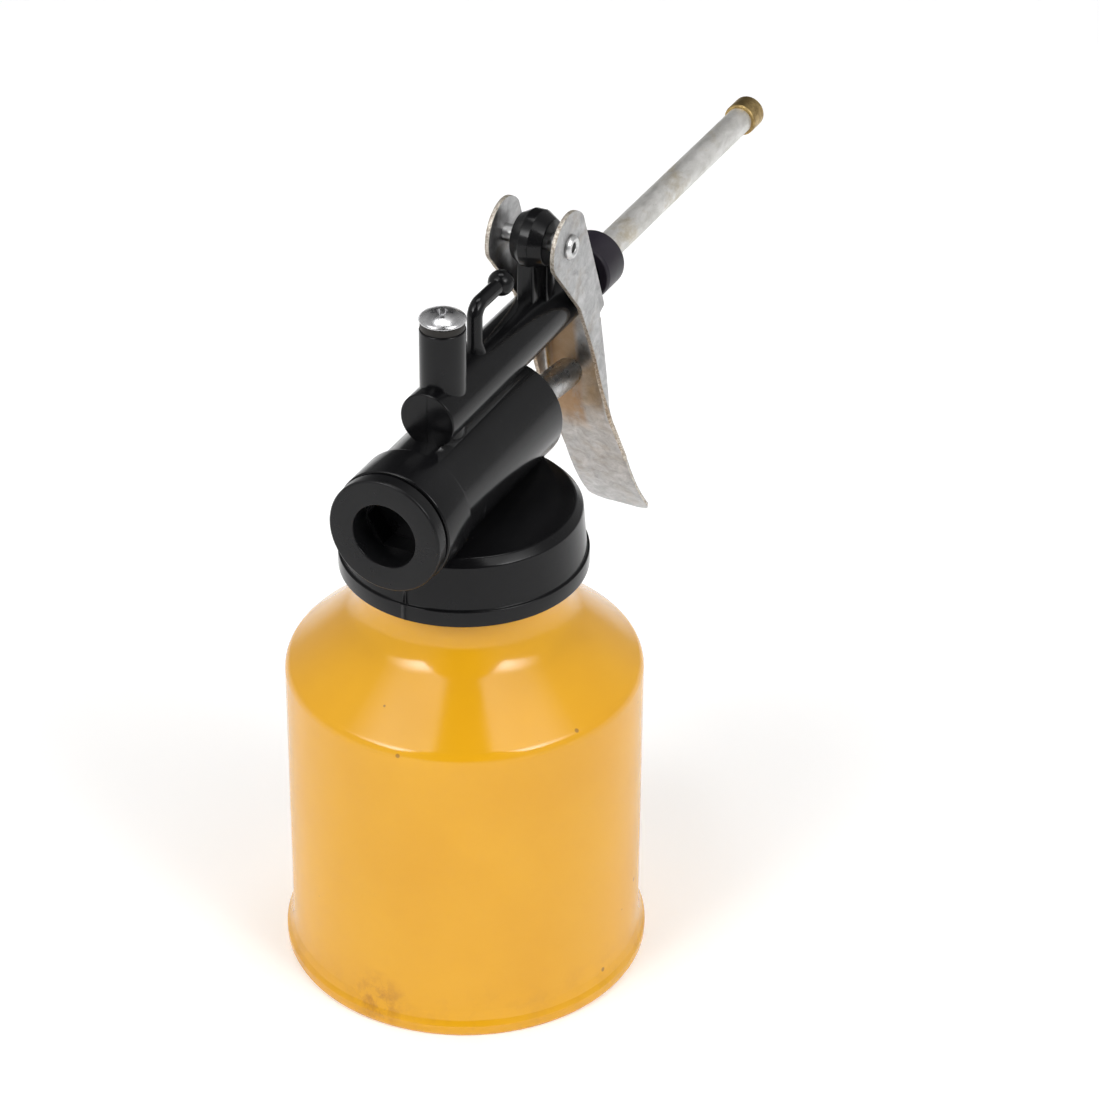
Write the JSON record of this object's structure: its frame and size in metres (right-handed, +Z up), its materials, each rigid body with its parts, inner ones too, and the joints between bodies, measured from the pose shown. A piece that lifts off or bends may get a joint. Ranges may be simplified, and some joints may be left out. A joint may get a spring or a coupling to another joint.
{
  "type": "oiler can",
  "caption": "Hand-pump oiler can with a painted round can, black screw-on pump head, squeeze lever with push rod, and a straight metal spout with a brass tip.",
  "frame": {"origin": "centre of the can's base, on the surface it stands on", "axes": "+X along the spout towards its tip, +Z up along the can's axis, +Y to the left when looking along the spout; both sides of the plane Y = 0 are alike"},
  "size_m": [0.1565, 0.0676, 0.1394],
  "materials": {
    "can_paint": "glossy orange-yellow paint with faint stains",
    "black_plastic": "glossy black moulding with parting lines",
    "plug_plastic": "semi-gloss black moulding",
    "nut_plastic": "satin black moulding",
    "seal_rubber": "matt black rubber",
    "washer_fibre": "matt black fibre",
    "lever_zinc": "mottled zinc plate with oil stains",
    "rivet_steel": "bright steel with rolled heads",
    "rod_steel": "drawn steel, oiled",
    "ring_steel": "spring steel",
    "spring_steel": "bright spring wire",
    "ball_steel": "polished ball steel",
    "piston_plastic": "natural plastic",
    "seat_brass": "turned brass",
    "tube_plastic": "milky plastic tube",
    "strainer_brass": "drawn brass",
    "screw_steel": "bright plated",
    "spout_alloy": "dull mottled alloy with stains",
    "tip_brass": "dull antique brass"
  },
  "bodies": {
    "can": {"can_body": "can_paint", "can_base": "can_paint"},
    "neck_seal": {"neck_gasket": "seal_rubber"},
    "head": {"pump_head": "black_plastic", "end_plug": "plug_plastic", "plug_seal": "seal_rubber", "retaining_ring": "ring_steel", "return_spring": "spring_steel", "inlet_seat": "seat_brass", "suction_tube": "tube_plastic", "strainer": "strainer_brass", "outlet_spring": "spring_steel", "valve_screw": "screw_steel", "screw_washer": "washer_fibre", "spout_nut": "nut_plastic", "spout_seal": "seal_rubber", "spout_tube": "spout_alloy", "nozzle_tip": "tip_brass"},
    "plunger": {"piston": "piston_plastic", "piston_seal": "seal_rubber", "push_rod": "rod_steel"},
    "trigger": {"lever": "lever_zinc", "pivot_rivet": "rivet_steel"},
    "inlet_valve": {"inlet_ball": "ball_steel"},
    "outlet_valve": {"outlet_ball": "ball_steel"}
  },
  "joints": [
    {"name": "head_lift", "type": "slide", "parent": "can", "child": "neck_seal", "axis": [0, 0, 1], "range_m": [0, 0.0061]},
    {"name": "head_unscrew", "type": "hinge", "parent": "neck_seal", "child": "head", "pos_m": [0, 0, 0.0863], "axis": [0, 0, 1], "range_deg": [0, 720]},
    {"name": "lever_pivot", "type": "hinge", "parent": "head", "child": "trigger", "pos_m": [0.028, 0, 0.1329], "axis": [0, 1, 0], "range_deg": [0, 20], "stiffness_Nm_per_rad": 0.6, "springref_deg": -16.04},
    {"name": "plunger_slide", "type": "slide", "parent": "head", "child": "plunger", "axis": [-1, 0, 0], "range_m": [0, 0.0123], "deforming": ["return_spring"]},
    {"name": "inlet_lift", "type": "slide", "parent": "head", "child": "inlet_valve", "axis": [0, 0, 1], "range_m": [0, 0.0012]},
    {"name": "outlet_lift", "type": "slide", "parent": "head", "child": "outlet_valve", "axis": [0, 0, 1], "range_m": [0, 0.0012], "stiffness_N_per_m": 60, "springref_m": -0.002, "deforming": ["outlet_spring"]}
  ],
  "couplings": [
    {"joint": "plunger_slide", "follows": "lever_pivot", "m_per_rad": 0.0349},
    {"joint": "head_lift", "follows": "head_unscrew", "m_per_rad": 0.0004775}
  ]
}
